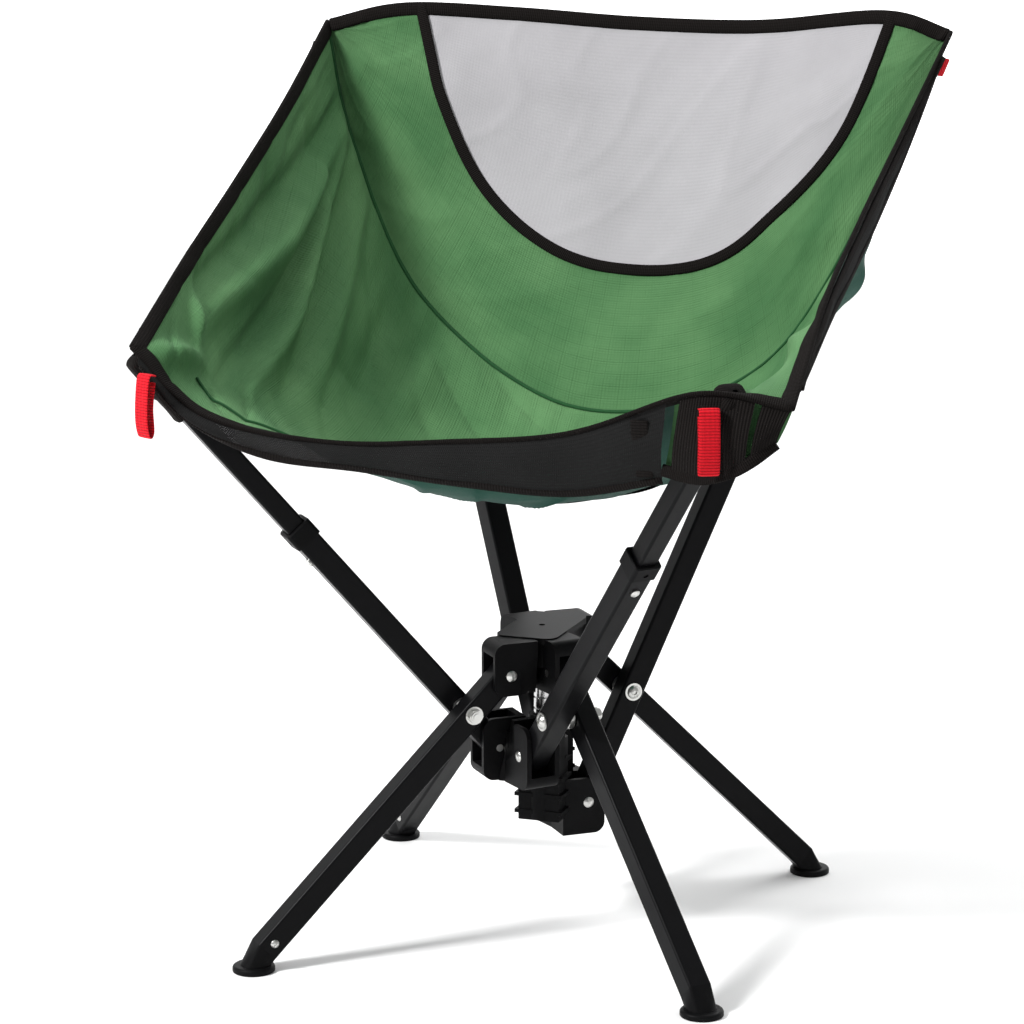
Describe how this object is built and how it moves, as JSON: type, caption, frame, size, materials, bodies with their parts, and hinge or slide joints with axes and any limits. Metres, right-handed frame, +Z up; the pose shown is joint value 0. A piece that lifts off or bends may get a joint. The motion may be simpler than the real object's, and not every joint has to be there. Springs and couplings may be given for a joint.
{
  "type": "folding bucket chair",
  "caption": "Low folding bucket chair: green fabric seat with a grey back insert, hung from crossed black steel legs and arms that meet at two central hubs.",
  "frame": {"origin": "on the floor, below the middle of the bounding box", "axes": "+Z up, the sitter faces -Y, +X is the sitter's left"},
  "size_m": [0.5512, 0.5005, 0.7124],
  "materials": {
    "black_tube": "gloss black powder coat",
    "black_plastic": "moulded, satin",
    "zinc_steel": "zinc plated",
    "post_steel": "bright",
    "green_fabric": "woven polyester",
    "grey_fabric": "plain weave polyester",
    "black_binding": "ribbed binding tape",
    "black_mesh": "open mesh",
    "black_webbing": "webbing",
    "red_webbing": "ribbed webbing"
  },
  "bodies": {
    "lower_hub": {"lower_hub": "black_plastic", "lower_hub_pins": "zinc_steel", "seat_base": "green_fabric", "seat_side_l": "green_fabric", "seat_side_r": "green_fabric", "seat_back": "green_fabric", "back_insert": "grey_fabric", "side_bands": "black_mesh", "rim_binding": "black_binding", "front_skirt": "black_mesh", "front_strap": "black_webbing"},
    "arm_fl": {"arm_tube_fl": "black_tube", "arm_collar_fl": "black_plastic"},
    "leg_fl": {"leg_tube_fl": "black_tube", "foot_fl": "black_plastic", "leg_fasteners_fl": "zinc_steel"},
    "tip_fl": {"inner_tube_fl": "black_tube", "tip_cap_fl": "black_plastic", "button_spring_fl": "zinc_steel", "corner_pocket_fl": "black_webbing", "pull_loop_fl": "red_webbing"},
    "button_fl": {"snap_button_fl": "zinc_steel"},
    "arm_fr": {"arm_tube_fr": "black_tube", "arm_collar_fr": "black_plastic"},
    "leg_fr": {"leg_tube_fr": "black_tube", "foot_fr": "black_plastic", "leg_fasteners_fr": "zinc_steel"},
    "tip_fr": {"inner_tube_fr": "black_tube", "tip_cap_fr": "black_plastic", "button_spring_fr": "zinc_steel", "corner_pocket_fr": "black_webbing", "pull_loop_fr": "red_webbing"},
    "button_fr": {"snap_button_fr": "zinc_steel"},
    "arm_br": {"arm_tube_br": "black_tube", "arm_collar_br": "black_plastic"},
    "leg_br": {"leg_tube_br": "black_tube", "foot_br": "black_plastic", "leg_fasteners_br": "zinc_steel"},
    "tip_br": {"inner_tube_br": "black_tube", "tip_cap_br": "black_plastic", "button_spring_br": "zinc_steel", "corner_pocket_br": "black_webbing", "pull_loop_br": "red_webbing"},
    "button_br": {"snap_button_br": "zinc_steel"},
    "arm_bl": {"arm_tube_bl": "black_tube", "arm_collar_bl": "black_plastic"},
    "leg_bl": {"leg_tube_bl": "black_tube", "foot_bl": "black_plastic", "leg_fasteners_bl": "zinc_steel"},
    "tip_bl": {"inner_tube_bl": "black_tube", "tip_cap_bl": "black_plastic", "button_spring_bl": "zinc_steel", "corner_pocket_bl": "black_webbing", "pull_loop_bl": "red_webbing"},
    "button_bl": {"snap_button_bl": "zinc_steel"},
    "upper_hub": {"upper_hub": "black_plastic", "upper_hub_pins": "zinc_steel", "centre_post": "post_steel"}
  },
  "joints": [
    {"name": "fold", "type": "hinge", "parent": "lower_hub", "child": "arm_fl", "pos_m": [-0.02878, -0.03464, 0.15333], "axis": [-0.6626, 0.749, 0], "range_deg": [0, 33.5], "deforming": ["seat_base", "seat_side_l", "seat_side_r", "seat_back", "back_insert", "side_bands", "rim_binding", "front_skirt", "front_strap"]},
    {"name": "leg_fl_turn", "type": "hinge", "parent": "arm_fl", "child": "leg_fl", "pos_m": [-0.04274, -0.06368, 0.1878], "axis": [0.6626, -0.749, 0], "range_deg": [0, 70.75]},
    {"name": "tip_fl_slide", "type": "slide", "parent": "arm_fl", "child": "tip_fl", "axis": [-0.4889, -0.4325, 0.7576], "range_m": [-0.12, 0], "deforming": ["snap_button_fl", "button_spring_fl", "corner_pocket_fl", "pull_loop_fl"]},
    {"name": "button_fl_press", "type": "slide", "parent": "tip_fl", "child": "button_fl", "axis": [0.5674, 0.502, 0.6528], "range_m": [0, 0.0042], "stiffness_N_per_m": 600},
    {"name": "arm_fr_turn", "type": "hinge", "parent": "lower_hub", "child": "arm_fr", "pos_m": [0.01222, -0.05336, 0.15333], "axis": [-0.6626, -0.749, 0], "range_deg": [0, 33.6]},
    {"name": "leg_fr_turn", "type": "hinge", "parent": "arm_fr", "child": "leg_fr", "pos_m": [0.04274, -0.06368, 0.1878], "axis": [0.6626, 0.749, 0], "range_deg": [0, 70.75]},
    {"name": "tip_fr_slide", "type": "slide", "parent": "arm_fr", "child": "tip_fr", "axis": [0.4889, -0.4325, 0.7576], "range_m": [-0.12, 0], "deforming": ["snap_button_fr", "button_spring_fr", "corner_pocket_fr", "pull_loop_fr"]},
    {"name": "button_fr_press", "type": "slide", "parent": "tip_fr", "child": "button_fr", "axis": [-0.5674, 0.502, 0.6528], "range_m": [0, 0.0042], "stiffness_N_per_m": 600},
    {"name": "arm_br_turn", "type": "hinge", "parent": "lower_hub", "child": "arm_br", "pos_m": [0.02346, 0.03143, 0.09525], "axis": [0.6428, -0.766, 0], "range_deg": [0, 17.99]},
    {"name": "leg_br_turn", "type": "hinge", "parent": "arm_br", "child": "leg_br", "pos_m": [0.04627, 0.06688, 0.18239], "axis": [-0.6428, 0.766, 0], "range_deg": [0, 55.47]},
    {"name": "tip_br_slide", "type": "slide", "parent": "arm_br", "child": "tip_br", "axis": [0.3213, 0.2696, 0.9078], "range_m": [-0.195, 0], "deforming": ["snap_button_br", "button_spring_br", "corner_pocket_br", "pull_loop_br"]},
    {"name": "button_br_press", "type": "slide", "parent": "tip_br", "child": "button_br", "axis": [-0.6954, -0.5835, 0.4195], "range_m": [0, 0.0042], "stiffness_N_per_m": 600},
    {"name": "arm_bl_turn", "type": "hinge", "parent": "lower_hub", "child": "arm_bl", "pos_m": [-0.00739, 0.05058, 0.09525], "axis": [0.6428, 0.766, 0], "range_deg": [0, 17.99]},
    {"name": "leg_bl_turn", "type": "hinge", "parent": "arm_bl", "child": "leg_bl", "pos_m": [-0.04627, 0.06688, 0.18239], "axis": [-0.6428, -0.766, 0], "range_deg": [0, 55.47]},
    {"name": "tip_bl_slide", "type": "slide", "parent": "arm_bl", "child": "tip_bl", "axis": [-0.3213, 0.2696, 0.9078], "range_m": [-0.195, 0], "deforming": ["snap_button_bl", "button_spring_bl", "corner_pocket_bl", "pull_loop_bl"]},
    {"name": "button_bl_press", "type": "slide", "parent": "tip_bl", "child": "button_bl", "axis": [0.6954, -0.5835, 0.4195], "range_m": [0, 0.0042], "stiffness_N_per_m": 600},
    {"name": "upper_hub_turn", "type": "hinge", "parent": "leg_fl", "child": "upper_hub", "pos_m": [-0.01222, -0.05336, 0.2175], "axis": [-0.6626, 0.749, 0], "range_deg": [0, 37.24]}
  ],
  "couplings": [
    {"joint": "leg_fl_turn", "follows": "fold", "ratio": 2.1088},
    {"joint": "arm_fr_turn", "follows": "fold", "ratio": 1},
    {"joint": "leg_fr_turn", "follows": "fold", "ratio": 2.1088},
    {"joint": "arm_br_turn", "follows": "fold", "ratio": 0.534},
    {"joint": "leg_br_turn", "follows": "fold", "ratio": 1.6527},
    {"joint": "arm_bl_turn", "follows": "fold", "ratio": 0.534},
    {"joint": "leg_bl_turn", "follows": "fold", "ratio": 1.6527},
    {"joint": "upper_hub_turn", "follows": "fold", "ratio": 1.1088}
  ]
}
